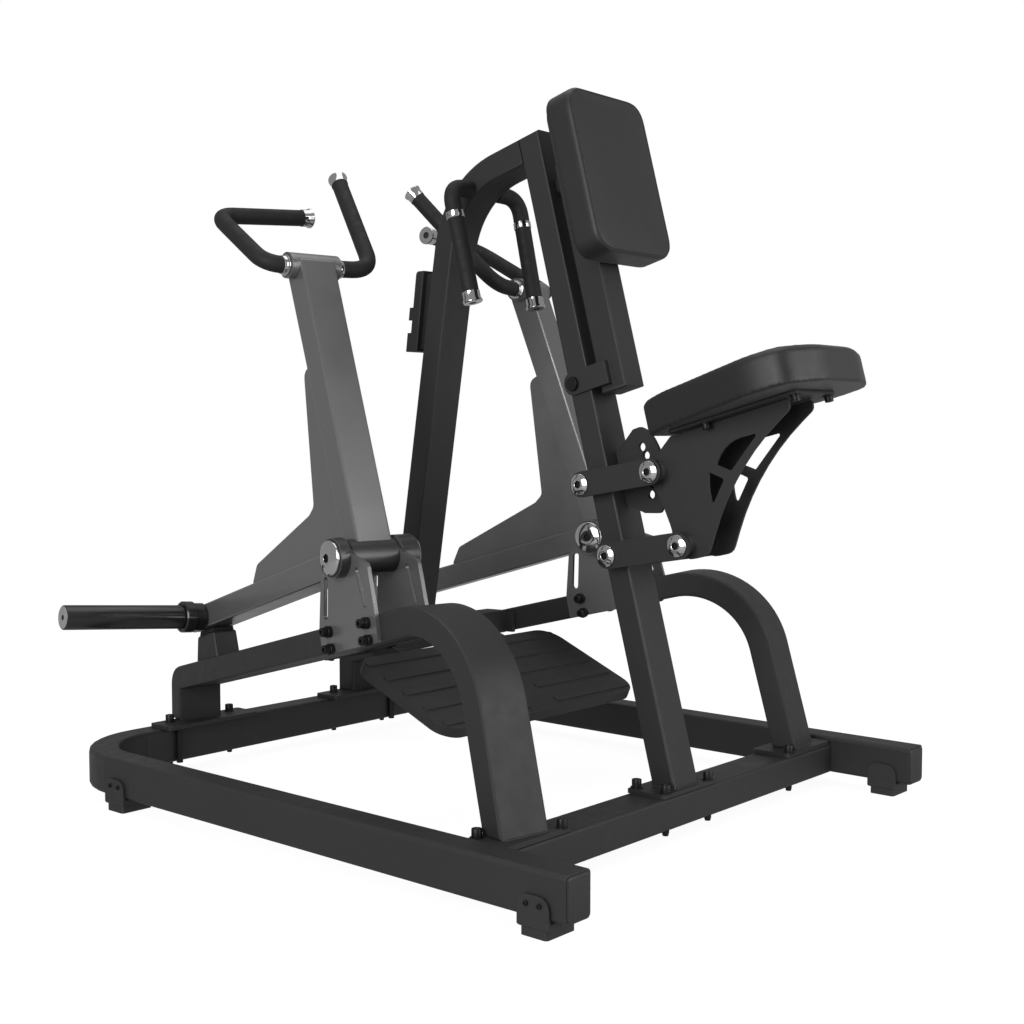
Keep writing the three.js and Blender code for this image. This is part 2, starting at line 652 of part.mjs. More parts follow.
// A through shaft with spacer collars between the seat brackets and the links.
function seatShaft(centre) {
  const bracket = BRACKET.outer + GAP;
  const collar = LINK.inner - GAP;
  const half = [
    [LINK.bolt, bracket], [LINK.boss, bracket], [LINK.boss, collar], [LINK.bolt, collar], ...capProfile(),
  ];
  const mirrored = half.map(([radius, x]) => [radius, -x]).reverse();
  return roundX([...mirrored, ...half], centre);
}

// A point round the upper mast bolt, at an angle above the rearward horizontal.
const polar = (angle, radius) => {
  const turn = radians(angle);
  return [UPPER_MAST[0] - radius * Math.cos(turn), UPPER_MAST[1] + radius * Math.sin(turn)];
};

function indexSector() {
  const rim = [];
  for (let angle = -13; angle <= 43; angle += 4) rim.push(polar(angle, INDEX.rim));
  const plate = acrossX([
    ...rim, [-380, 748, 8], [-364, 743], fromMast(MAST.rear + GAP, 590), fromMast(MAST.rear + GAP, 492),
    [-393, 589], [-428, 590, 8],
  ], -INDEX.half, INDEX.half);
  const holes = [];
  for (let step = -2; step <= 3; step += 1) {
    const centre = polar(REST_ANGLE + step * INDEX.step, INDEX.radius);
    holes.push(rodX(INDEX.hole, -INDEX.half - 1, INDEX.half + 1, centre, 16));
  }
  return cut(plate, ...holes);
}

const SEAT_BRACKET = [
  [-711, 794.2, 5], [-716, 778, 12], [-605, 675, 450], [-557, 522, 22], [-520, 513, 30], [-484, 520, 16],
  [-480, 563, 60], [-460, 606, 60], [-426, 660, 16], [-445, 697, 10], [-474, 730.6, 6],
];
const SEAT_WINDOWS = [
  [[-655, 738, 3], [-602, 672, 3], [-571, 682, 3], [-586, 721, 68]],
  [[-556, 669, 2], [-588, 657, 4], [-564, 609, 4], [-555, 640, 120]],
];

function seatBracket(side) {
  const inner = side * BRACKET.inner;
  const outer = side * BRACKET.outer;
  const plate = acrossX(SEAT_BRACKET, inner, outer, 0, SEAT_WINDOWS);
  const bores = [UPPER_SEAT, LOWER_SEAT].map(centre =>
    rodX(LINK.bolt + GAP, inner - side, outer + side, centre));
  return cut(plate, ...bores);
}

function seatPlate() {
  const { half, rear, front, low, high } = SEAT_PLATE;
  return inMast(lying(rectangle(-half, half, -rear, -front, 12), low, high));
}

// The seat pad's upper edge is bevelled and its lower edge is square.
// Narrow at the mast, the seat widens evenly to its rear third, where it turns into a broad back edge.
function seatPad() {
  const { low, high, edge, half, front, rear } = SEAT_PAD;
  const right = [
    [68, -front, 30], [100, -front - 60, 150], [half, 92 - rear, 140], [half - 12, 28 - rear, 45],
    [62, -rear, 140],
  ];
  const left = right.map(([x, y, radius]) => [-x, y, radius]).reverse();
  const pad = lying([...right, ...left], low - edge, high, edge);
  const below = lying(rectangle(-half - 30, half + 30, -rear - 30, 30 - front), low - edge - 1, low);
  return inMast(cut(pad, below));
}

// The pull pin's barrel hangs on the right upper link; its knob is outside the link.
function pinBarrel() {
  const centre = polar(REST_ANGLE, INDEX.radius);
  const { radius, barrel, barrelStart } = PULL_PIN;
  const body = rodX(barrel, barrelStart, LINK.inner - GAP, centre);
  return cut(body, rodX(radius + GAP, barrelStart - 1, LINK.inner + 1, centre));
}

function popPin() {
  const { radius, knob, knobLength } = PULL_PIN;
  const tip = INDEX.half + RUN;
  const stem = LINK_OUTER + RUN;
  const end = stem + knobLength;
  return roundX([
    [0, tip], [radius, tip], [radius, stem], [knob - 2, stem], [knob, stem + 5], [knob, end - 4],
    [knob - 4, end], [0, end],
  ], polar(REST_ANGLE, INDEX.radius));
}

function linkWithPinBore() {
  const plate = linkPlate(1, UPPER_MAST, UPPER_SEAT);
  const bore = rodX(PULL_PIN.radius + GAP, LINK.inner - 1, LINK_OUTER + 1, polar(REST_ANGLE, INDEX.radius));
  return cut(plate, bore);
}

function addSeat() {
  add(machine, 'left_upper_link', linkPlate(-1, UPPER_MAST, UPPER_SEAT), blackPaint);
  add(machine, 'right_upper_link', linkWithPinBore(), blackPaint);
  for (const [name, side] of SIDES) {
    add(machine, `${name}_lower_link`, linkPlate(side, LOWER_MAST, LOWER_SEAT), blackPaint);
    add(machine, `${name}_seat_bracket`, seatBracket(side), blackPaint);
    add(machine, `${name}_upper_link_bolt`, mastBolt(side, UPPER_MAST), chrome);
    add(machine, `${name}_lower_link_bolt`, mastBolt(side, LOWER_MAST), chrome);
  }
  add(machine, 'upper_seat_shaft', seatShaft(UPPER_SEAT), chrome);
  add(machine, 'lower_seat_shaft', seatShaft(LOWER_SEAT), chrome);
  add(machine, 'pop_pin_barrel', pinBarrel(), steel);
  add(machine, 'pop_pin', popPin(), plastic);
  add(machine, 'seat_plate', seatPlate(), blackPaint);
  add(machine, 'seat_pad', seatPad(), vinyl);
}

function addMast() {
  add(machine, 'mast', mast(), blackPaint);
  add(machine, 'front_leg', frontLeg(), blackPaint);
  add(machine, 'leg_crossmember', crossmember(), blackPaint);
  add(machine, 'index_sector', indexSector(), blackPaint);
  const tread = add(machine, 'foot_plate', footPlate(), blackPaint);
  tread.position.set(0, TREAD.rear, TREAD.low);
  tread.rotation.x = TREAD.slope;
  for (const [name, side] of SIDES) {
    add(machine, `${name}_fixed_grip`, gripBar(side, FIXED_GRIP, 38), blackRubber);
  }
  add(machine, 'accessory_holder', accessoryHolder(), plastic);
  add(machine, 'chest_bumper', chestBumper(), blackRubber);
  add(machine, 'chest_carrier', chestCarrier(), blackPaint);
  add(machine, 'chest_pin', chestPin(), steel);
  add(machine, 'chest_backing_plate', backingPlate(), blackPaint);
  add(machine, 'chest_pad', chestPad(), vinyl);
}

addBase();
for (const [name, side] of SIDES) addLeverSide(name, side);
addMast();
addSeat();

// The origin is on the floor, in the middle of the machine's length and width.
machine.updateMatrixWorld(true);
const reach = new THREE.Box3().setFromObject(machine, true);
machine.position.y = -(reach.min.y + reach.max.y) / 2;

export default machine;
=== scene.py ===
# Looks of a plate-loaded seated row machine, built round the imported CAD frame. Metres, +Z up.
import json
import math

import bmesh
import bpy
from mathutils import Matrix, Vector


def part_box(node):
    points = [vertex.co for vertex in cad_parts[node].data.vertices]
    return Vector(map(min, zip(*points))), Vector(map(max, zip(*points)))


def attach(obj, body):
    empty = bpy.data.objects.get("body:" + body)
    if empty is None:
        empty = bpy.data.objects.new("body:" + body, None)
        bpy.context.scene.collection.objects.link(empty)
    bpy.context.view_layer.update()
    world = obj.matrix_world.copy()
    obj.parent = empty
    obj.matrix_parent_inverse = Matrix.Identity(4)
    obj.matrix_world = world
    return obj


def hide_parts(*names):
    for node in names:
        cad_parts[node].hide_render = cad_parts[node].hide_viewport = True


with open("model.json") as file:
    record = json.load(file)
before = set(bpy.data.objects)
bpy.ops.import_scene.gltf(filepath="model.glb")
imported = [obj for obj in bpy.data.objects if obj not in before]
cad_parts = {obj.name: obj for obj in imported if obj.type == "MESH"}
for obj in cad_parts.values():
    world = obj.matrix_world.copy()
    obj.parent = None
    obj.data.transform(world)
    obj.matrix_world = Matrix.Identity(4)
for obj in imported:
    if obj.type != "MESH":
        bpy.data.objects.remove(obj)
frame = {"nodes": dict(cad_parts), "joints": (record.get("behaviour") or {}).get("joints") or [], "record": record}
NODES = frame["nodes"]
JOINTS = {joint["name"]: joint for joint in frame["joints"]}
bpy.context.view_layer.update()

SIDES = (("left", -1), ("right", 1))
X = Vector((1, 0, 0))
Y = Vector((0, 1, 0))
Z = Vector((0, 0, 1))

# The camera, given from the mast; the room's light; and the floor as it is seen and as it lights.
CAMERA_PLACE = Vector((-2.167, -1.9484, 0.742))
CAMERA_PITCH = 3.255
CAMERA_TURN = -49
CAMERA_LENS = 50.7

ROOM_LIGHT = 0.36
FLOOR_SEEN = 0.93
FLOOR_FELT = 0.3

# The mast: its lean, and where its own directions start.
LEAN = math.radians(15)
MAST_ORIGIN_Y = JOINTS["seat_height"]["pos_m"][1] + 0.292
MAST_TURN = Matrix.Rotation(-LEAN, 4, "X")
MAST_HALF = 0.038
MAST_FRONT = 0.445
MAST_REAR = 0.495

# The lever pivots, and the sleeves and grips on the levers.
PIVOT_ALONG = -0.033
PIVOT_UP = 0.513
HOUSING_HALF = 0.085
HUB_RADIUS = 0.0385
BOSS_HALF = 0.054
GRIP_RADIUS = 0.0165
SLEEVE_TILT = math.radians(4.4)
SLEEVE_ROOT = (0.0413, 0.56, 0.344)
SLEEVE_LENGTH = 0.305

# The arches that carry the levers, given from the lever's plane.
ARCH_OUT = 0.007
ARCH_BACK = 0.012
ARCH_HALF = 0.05
REAR_LEG_OUTER = -0.5
REAR_LEG_INNER = -0.4482
PIVOT_PLATE_FACE = 0.0583

# Fasteners.
PLATE_THICK = 0.008
LINK_FACE = 0.0705
BOLT_HEAD = 0.009
BOLT_HEIGHT = 0.014
PIVOT_BOLTS = ((0.016, 0.375), (0.008, 0.344), (-0.108, 0.404), (-0.115, 0.374))


# ---------------------------------------------------------------- frames of reference
def mast_point(across, back, up):
    """A point in the leaning mast's own directions: behind the front of the seat, and up the mast."""
    y = -math.cos(LEAN) * back + math.sin(LEAN) * up + MAST_ORIGIN_Y
    z = math.sin(LEAN) * back + math.cos(LEAN) * up
    return Vector((across, y, z))


class LeverPlane:
    """The upright plane that one lever swings in, from its pivot joint."""

    def __init__(self, name, side):
        joint = JOINTS[f"{name}_lever_pivot"]
        self.name = name
        self.side = side
        self.body = f"{name}_lever"
        self.pivot = Vector(joint["pos_m"])
        self.across = Vector(joint["axis"]).normalized()
        self.along = Z.cross(self.across).normalized()

    def point(self, out, along, up):
        """A point out from the lever's middle, along from the pivot, and up from the pivot."""
        return self.pivot + self.across * (self.side * out) + self.along * along + Z * up

    def outward(self):
        return self.across * self.side


PLANES = [LeverPlane(name, side) for name, side in SIDES]


# ---------------------------------------------------------------- material helpers
class Nodes:
    """A material's node tree, with short calls for what the finishes share."""

    def __init__(self, name, color, roughness, metallic=0.0):
        self.material = bpy.data.materials.new(name)
        self.material.use_nodes = True
        self.tree = self.material.node_tree
        self.shader = self.tree.nodes["Principled BSDF"]
        self.set("Base Color", (*color, 1))
        self.set("Roughness", roughness)
        self.set("Metallic", metallic)
        self.material.diffuse_color = (*color, 1)
        self.place = self.tree.nodes.new("ShaderNodeTexCoord").outputs["Object"]
        self.height = None

    def set(self, socket, value):
        self.shader.inputs[socket].default_value = value

    def link(self, start, end):
        self.tree.links.new(start, end)

    def noise(self, scale, detail=3.0, stretch=None):
        node = self.tree.nodes.new("ShaderNodeTexNoise")
        node.inputs["Scale"].default_value = scale
        node.inputs["Detail"].default_value = detail
        self.link(self.stretched(stretch), node.inputs["Vector"])
        return node.outputs["Fac"]

    def cells(self, scale, feature="DISTANCE_TO_EDGE"):
        node = self.tree.nodes.new("ShaderNodeTexVoronoi")
        node.feature = feature
        node.inputs["Scale"].default_value = scale
        self.link(self.place, node.inputs["Vector"])
        return node.outputs["Distance"]

    def stretched(self, stretch):
        if stretch is None:
            return self.place
        node = self.tree.nodes.new("ShaderNodeMapping")
        node.inputs["Scale"].default_value = stretch
        self.link(self.place, node.inputs["Vector"])
        return node.outputs["Vector"]

    def span(self, source, low, high, source_low=0.3, source_high=0.7):
        node = self.tree.nodes.new("ShaderNodeMapRange")
        for socket, value in (("From Min", source_low), ("From Max", source_high),
                              ("To Min", low), ("To Max", high)):
            node.inputs[socket].default_value = value
        self.link(source, node.inputs["Value"])
        return node.outputs["Result"]

    def vary_roughness(self, source, low, high):
        self.link(self.span(source, low, high), self.shader.inputs["Roughness"])

    def vary_color(self, source, dark, light):
        ramp = self.tree.nodes.new("ShaderNodeValToRGB")
        ramp.color_ramp.elements[0].position = 0.3
        ramp.color_ramp.elements[0].color = (*dark, 1)
        ramp.color_ramp.elements[1].position = 0.7
        ramp.color_ramp.elements[1].color = (*light, 1)
        self.link(source, ramp.inputs["Fac"])
        self.link(ramp.outputs["Color"], self.shader.inputs["Base Color"])

    def bump(self, source, distance, strength=0.5):
        node = self.tree.nodes.new("ShaderNodeBump")
        node.inputs["Distance"].default_value = distance
        node.inputs["Strength"].default_value = strength
        self.link(source, node.inputs["Height"])
        if self.height is not None:
            self.link(self.height, node.inputs["Normal"])
        self.height = node.outputs["Normal"]
        self.link(self.height, self.shader.inputs["Normal"])


def grey(value, blue=0.0):
    """A grey colour, with a little more blue if wanted."""
    return (value, value, value + blue)


# ---------------------------------------------------------------- finishes
def powder_coat():
    """Satin black powder coat with a fine orange-peel skin."""
    made = Nodes("powder_coat", grey(0.0185), 0.5)
    made.vary_color(made.noise(5, 4), grey(0.0175), grey(0.0195, 0.0001))
    made.vary_roughness(made.noise(38, 4), 0.48, 0.57)
    made.bump(made.noise(900, 2), 0.00012, 0.35)
    made.bump(made.noise(120, 2), 0.0002, 0.12)
    made.set("Specular IOR Level", 0.36)
    return made.material


def graphite_paint():
    """Smooth graphite-grey paint with a fine metallic flake under a thin clear coat."""
    made = Nodes("graphite_paint", grey(0.125, 0.001), 0.36, 0.45)
    made.vary_color(made.noise(1800, 2), grey(0.11, 0.001), grey(0.14, 0.002))
    made.vary_roughness(made.noise(22, 3), 0.31, 0.4)
    made.bump(made.noise(260, 2), 0.00012, 0.1)
    made.set("Coat Weight", 0.4)
    made.set("Coat Roughness", 0.14)
    return made.material


def grip_rubber():
    """Matt black rubber with fine moulded pimples."""
    made = Nodes("grip_rubber", grey(0.01), 0.68)
    made.vary_roughness(made.noise(60, 3), 0.58, 0.76)
    made.bump(made.cells(420, "F1"), 0.00025, 0.35)
    made.set("Specular IOR Level", 0.3)
    return made.material


def chrome_plate():
    """Polished chrome with faint wiping marks."""
    made = Nodes("chrome_plate", grey(0.56, 0.004), 0.1, 1.0)
    made.vary_roughness(made.noise(90, 5, (1, 1, 9)), 0.07, 0.16)
    made.bump(made.noise(40, 2), 0.0001, 0.05)
    return made.material


def zinc_steel():
    """Zinc-plated steel with turning marks."""
    made = Nodes("zinc_steel", grey(0.42, 0.008), 0.33, 1.0)
    made.vary_roughness(made.noise(260, 4, (14, 1, 1)), 0.26, 0.42)
    made.bump(made.noise(700, 2, (9, 1, 1)), 0.00006, 0.2)
    return made.material


def blackened_steel():
    """Black-oxide screws and nuts, oily and slightly uneven."""
    made = Nodes("blackened_steel", grey(0.02), 0.36, 0.75)
    made.vary_roughness(made.noise(300, 4), 0.28, 0.46)
    made.bump(made.noise(900, 2), 0.00005, 0.25)
    return made.material


def hub_metal():
    """Dark burnished metal of the pivot hubs, turned round their axis."""
    made = Nodes("hub_metal", grey(0.07), 0.34, 0.7)
    made.vary_roughness(made.noise(200, 4, (10, 1, 1)), 0.28, 0.4)
    made.bump(made.noise(500, 2, (8, 1, 1)), 0.00005, 0.15)
    return made.material


def sleeve_coat():
    """Dense black sleeve, smoother than the frame, with lengthwise rub marks left by plates in its roughness, and
    lighter lengthwise streaks painted into its colour as painted reflection.
    """
    made = Nodes("sleeve_coat", grey(0.01), 0.3)
    made.vary_roughness(made.noise(34, 5, (0.12, 1, 1)), 0.16, 0.36)
    # Lighter lengthwise streaks in the colour: painted reflection, not a property of the sleeve.
    made.vary_color(made.noise(60, 4, (0.1, 1, 1)), grey(0.008), grey(0.014))
    made.bump(made.noise(300, 3, (0.1, 1, 1)), 0.00008, 0.15)
    return made.material


def moulded_plastic():
    """Black moulded plastic with a fine spark-eroded texture."""
    made = Nodes("moulded_plastic", grey(0.014), 0.55)
    made.vary_roughness(made.noise(50, 3), 0.48, 0.62)
    made.bump(made.noise(1400, 3), 0.00012, 0.4)
    return made.material


def end_plastic():
    """Light grey plastic of the discs that close the weight sleeves."""
    made = Nodes("end_plastic", grey(0.245), 0.5)
    made.vary_color(made.noise(80, 3), grey(0.22), grey(0.27))
    made.bump(made.noise(1200, 2), 0.00008, 0.3)
    return made.material


def synthetic_leather():
    """Black synthetic leather: pebbled grain, finer pores, and soft changes of sheen."""
    made = Nodes("synthetic_leather", grey(0.0068), 0.5)
    made.vary_color(made.noise(9, 4), grey(0.0065), grey(0.0072, 0.0001))
    made.vary_roughness(made.noise(45, 4), 0.47, 0.53)
    made.bump(made.cells(520), 0.0004, 0.45)
    made.bump(made.noise(1500, 3), 0.00012, 0.3)
    made.set("Sheen Weight", 0.06)
    made.set("Sheen Roughness", 0.4)
    return made.material


FINISHES = {
    "frame_paint": powder_coat(),
    "lever_paint": graphite_paint(),
    "grip_rubber": grip_rubber(),
    "chrome": chrome_plate(),
    "steel": zinc_steel(),
    "plastic": moulded_plastic(),
    "upholstery": synthetic_leather(),
    "screw": blackened_steel(),
    "hub": hub_metal(),
    "sleeve": sleeve_coat(),
    "end_disc": end_plastic(),
}


# ---------------------------------------------------------------- mesh helpers
def keep(name, shape, finish, body, smooth=40):
    """Turns a bmesh into a named piece with a finish, riding on a body."""
    bmesh.ops.recalc_face_normals(shape, faces=shape.faces)
    mesh = bpy.data.meshes.new(name)
    shape.to_mesh(mesh)
    shape.free()
    mesh.materials.append(FINISHES[finish])
    mesh.shade_smooth()
    mesh.set_sharp_from_angle(angle=math.radians(smooth))
    piece = bpy.data.objects.new(name, mesh)
    bpy.context.scene.collection.objects.link(piece)
    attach(piece, body)
    return piece


def facing(axis):
    """A rotation that turns +Z to the axis."""
    return Z.rotation_difference(Vector(axis).normalized()).to_matrix().to_4x4()


def turned(shape, profile, start, axis, sides=40):
    """Adds a lathed solid: (radius, distance along the axis) from axis to axis."""
    place = Matrix.Translation(start) @ facing(axis)
    rings = []
    for radius, along in profile:
        if radius < 1e-7:
            rings.append([shape.verts.new(place @ Vector((0, 0, along)))])
            continue
        ring = []
        for index in range(sides):
            angle = 2 * math.pi * index / sides
            spot = Vector((radius * math.cos(angle), radius * math.sin(angle), along))
            ring.append(shape.verts.new(place @ spot))
        rings.append(ring)
    for near, far in zip(rings, rings[1:]):
        for index in range(sides):
            following = (index + 1) % sides
            corners = [near[index % len(near)], near[following % len(near)],
                       far[following % len(far)], far[index % len(far)]]
            unique = list(dict.fromkeys(corners))
            if len(unique) > 2:
                shape.faces.new(unique)


def socket_profile(radius, height, socket=0.5, depth=0.55):
    """A domed-edge screw head with a round-bottomed socket, from its seat to its middle."""
    edge = radius * 0.14
    return [
        (0, 0), (radius, 0), (radius, height - edge), (radius - edge * 0.3, height - edge * 0.3),
        (radius - edge, height), (radius * socket, height),
        (radius * socket * 0.94, height - 0.0004), (radius * socket * 0.94, height * (1 - depth)),
        (0, height * (1 - depth) - 0.0005),
    ]


def screw(shape, seat, axis, radius=BOLT_HEAD, height=BOLT_HEIGHT):
    """A socket head screw on a washer."""
    axis = Vector(axis).normalized()
    washer = 0.0022
    rim = radius * 1.3
    disc = [(0, 0), (rim, 0), (rim, washer * 0.8), (rim - 0.0004, washer), (0, washer)]
    turned(shape, disc, seat, axis, 28)
    turned(shape, socket_profile(radius, height), seat + axis * washer, axis, 28)


def socket_shade_lining(shape, mouth, axis, radius):
    """A dark lining for a hexagon socket, set in a bright cap: painted shade for the inside of the socket."""
    axis = Vector(axis).normalized()
    floor = 0.0004
    inner = radius * 0.84
    height = 0.0032
    profile = [(0, 0), (radius, 0), (radius, height), (inner, height), (inner, floor), (0, floor)]
    turned(shape, profile, mouth - axis * 0.003, axis, 6)


def nut(shape, seat, axis, radius=0.0105, height=0.009):
    """A hexagon nut with the thread's end showing."""
    axis = Vector(axis).normalized()
    body = [(0, 0), (radius, 0), (radius, height * 0.85), (radius * 0.88, height), (0, height)]
    turned(shape, body, seat, axis, 6)
    turned(shape, [(0, 0), (0.0058, 0), (0.0058, 0.0035), (0.005, 0.0045), (0, 0.0045)],
           seat + axis * height, axis, 20)


def bar(shape, path, radius, sides=24):
    """A round bar along a list of points, closed at both ends."""
    rings = []
    normal = None
    for index, spot in enumerate(path):
        before = path[max(index - 1, 0)]
        after = path[min(index + 1, len(path) - 1)]
        tangent = (after - before).normalized()
        if normal is None:
            normal = tangent.orthogonal().normalized()
        normal = (normal - tangent * normal.dot(tangent)).normalized()
        side = tangent.cross(normal)
        ring = []
        for step in range(sides):
            angle = 2 * math.pi * step / sides
            away = math.cos(angle) * normal + math.sin(angle) * side
            ring.append(shape.verts.new(spot + radius * away))
        rings.append(ring)
    for near, far in zip(rings, rings[1:]):
        for step in range(sides):
            following = (step + 1) % sides
            shape.faces.new([near[step], near[following], far[following], far[step]])
    shape.faces.new(rings[0])
    shape.faces.new(list(reversed(rings[-1])))


def bent(corners, bend, steps=14):
    """Points along straight runs joined by smooth bends."""
    path = [corners[0]]
    for before, corner, after in zip(corners, corners[1:], corners[2:]):
        entry = corner + (before - corner).normalized() * bend
        leave = corner + (after - corner).normalized() * bend
        for step in range(steps + 1):
            share = step / steps
            towards = corner * (2 * share * (1 - share))
            path.append(entry * (1 - share) ** 2 + towards + leave * share ** 2)
    path.append(corners[-1])
    return path


# ---------------------------------------------------------------- CAD nodes that stay
def soften(node, width):
    """Rounds a CAD node's sharp edges a little, without touching its own mesh."""
    weld = node.modifiers.new("weld", "WELD")
    weld.merge_threshold = 0.00002
    flatten = node.modifiers.new("flatten", "DECIMATE")
    flatten.decimate_type = "DISSOLVE"
    flatten.angle_limit = math.radians(0.6)
    edge = node.modifiers.new("edge", "BEVEL")
    edge.width = width
    edge.segments = 2
    edge.limit_method = "ANGLE"
    edge.angle_limit = math.radians(38)
    normals = node.modifiers.new("normals", "WEIGHTED_NORMAL")
    normals.weight = 100


def darken_hub(node, plane, radius):
    """The turned hub round a lever's shaft has bare dark metal, unlike the plates it is welded to."""
    node.data.materials.append(FINISHES["hub"])
    for face in node.data.polygons:
        away = face.center - plane.pivot
        distance = (away - plane.across * away.dot(plane.across)).length
        across = abs(face.normal.dot(plane.across))
        if distance < radius and across < 0.3:
            face.material_index = 1


EDGE_WIDTH = {"frame_paint": 0.0012, "lever_paint": 0.001, "plastic": 0.0009}


def finish_cad_nodes():
    """Gives every CAD node its finish and its softened edges."""
    for row in frame["record"]["subparts"]:
        node = NODES[row["node"]]
        slot = row["material_slot"]
        node.data.materials.clear()
        node.data.materials.append(FINISHES[slot])
        node.data.shade_smooth()
        soften(node, EDGE_WIDTH.get(slot, 0.0006))
    NODES["chest_pin"].data.materials[0] = FINISHES["screw"]
    for plane in PLANES:
        for label in ("lever", "outer_pivot_plate", "inner_pivot_plate"):
            darken_hub(NODES[f"{plane.name}_{label}"], plane, HUB_RADIUS)


# ---------------------------------------------------------------- grips
def grip_collar(length, flange):
    """Profile of a turned collar round a grip, with a flange at its root."""
    rim = GRIP_RADIUS + 0.0012
    return [(0, 0), (rim + flange, 0), (rim + flange, 0.003), (rim, 0.0042), (rim, length - 0.001),
            (rim - 0.0008, length), (0, length)]


def grip_end(length, mouth, depth):
    """Profile of a polished end sleeve that flares to a flat ring round its hole."""
    rim = GRIP_RADIUS + 0.001
    flare = GRIP_RADIUS + 0.0034
    return [(0, 0), (rim, 0), (rim, length * 0.6), (flare, length - 0.004), (flare, length - 0.0015),
            (flare - 0.0015, length), (mouth, length), (mouth, length - depth), (0, length - depth)]


def grip(name, body, corners, bend, collars, end_length=0.022):
    """A bent round grip in rubber, with chrome collars and a chrome sleeve at its end.

    Each collar is (place, axis, length, flange)."""
    rubber = bmesh.new()
    path = bent(corners, bend)
    end = (path[-1] - path[-2]).normalized()
    path[-1] = path[-1] - end * end_length
    bar(rubber, path, GRIP_RADIUS)
    piece = keep(name + "_rubber", rubber, "grip_rubber", body)
    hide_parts(name)
    metal = bmesh.new()
    mouth = 0.0075
    depth = 0.006
    turned(metal, grip_end(end_length, mouth, depth), path[-1], end)
    for spot, axis, length, flange in collars:
        turned(metal, grip_collar(length, flange), spot, axis)
    keep(name + "_chrome", metal, "chrome", body)
    plug = bmesh.new()
    turned(plug, [(0, 0), (mouth - 0.0002, 0), (mouth - 0.0002, 0.003), (0, 0.003)],
           path[-1] + end * (end_length - depth), end, 28)
    keep(name + "_plug", plug, "plastic", body)


def lever_corners(plane, points):
    """Corners given from the lever's middle plane, the machine's middle and the floor."""
    return [plane.point(out, along - PIVOT_ALONG, up - PIVOT_UP) for out, along, up in points]


def add_lever_grips(plane):
    """The overhand and upright grips on both sides of a lever's top boss."""
    overhand = lever_corners(plane, [
        (BOSS_HALF + 0.001, 0.168, 1.053), (0.1, 0.168, 1.053),
        (0.098, 0.361, 1.164), (-0.118, 0.365, 1.178)])
    upright = lever_corners(plane, [
        (-BOSS_HALF - 0.001, 0.168, 1.053), (-0.14, 0.168, 1.056), (-0.181, 0.36, 1.265)])
    collar = plane.outward()
    length = 0.011
    flange = 0.0028
    grip(f"{plane.name}_overhand_grip", plane.body, overhand, 0.042,
         [(overhand[0], collar, length, flange)])
    grip(f"{plane.name}_upright_grip", plane.body, upright, 0.05,
         [(upright[0], -collar, length, flange)])


def add_fixed_grips():
    """The two hanging grips at the top of the mast."""
    for name, side in SIDES:
        low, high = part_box(f"{name}_fixed_grip")
        root = Vector((side * 0.0395, MAST_ORIGIN_Y + 0.012, 1.218))
        corner = Vector((side * 0.102, MAST_ORIGIN_Y + 0.008, 1.216))
        tip = Vector((side * 0.095, MAST_ORIGIN_Y - 0.047, low.z + 0.0035))
        fall = (tip - corner).normalized()
        grip(f"{name}_fixed_grip", "root", [root, corner, tip], 0.038,
             [(corner + fall * 0.052, fall, 0.013, 0)])


# ---------------------------------------------------------------- lever pivots and sleeves
def add_pivot_caps(plane):
    """Chrome domes with a hexagon socket at both ends of the lever's shaft, over black seals."""
    chrome = bmesh.new()
    seals = bmesh.new()
    shade_linings = bmesh.new()
    for way in (1, -1):
        axis = plane.across * way
        start = plane.pivot + axis * (HOUSING_HALF + 0.0005)
        turned(chrome, [
            (0, 0), (0.0315, 0), (0.032, 0.0008), (0.032, 0.004), (0.0312, 0.0052), (0.0262, 0.0068),
            (0.0205, 0.0098), (0.0125, 0.0104), (0.0085, 0.0104), (0.0078, 0.0098), (0.0078, 0.003),
            (0, 0.003),
        ], start, axis, 64)
        turned(seals, [
            (0, 0), (0.0345, 0), (0.0352, 0.0012), (0.0352, 0.0036), (0.0345, 0.0044), (0, 0.0044),
        ], start - axis * 0.0042, axis, 64)
        # The dark lining in each cap's socket is painted shade.
        socket_shade_lining(shade_linings, start + axis * 0.0104, axis, 0.0088)
    keep(f"{plane.name}_pivot_sockets", shade_linings, "screw", plane.body)
    turned(chrome, [(0, 0), (0.02, 0), (0.02, 2 * HOUSING_HALF), (0, 2 * HOUSING_HALF)],
           plane.pivot - plane.across * HOUSING_HALF, plane.across, 48)
    piece = keep(f"{plane.name}_pivot_caps", chrome, "chrome", plane.body)
    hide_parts(f"{plane.name}_pivot_shaft")
    keep(f"{plane.name}_pivot_seals", seals, "plastic", plane.body)


def sleeve_axis(plane):
    """The way a sleeve points: outwards, rising a little."""
    return (plane.outward() * math.cos(SLEEVE_TILT) + Z * math.sin(SLEEVE_TILT)).normalized()


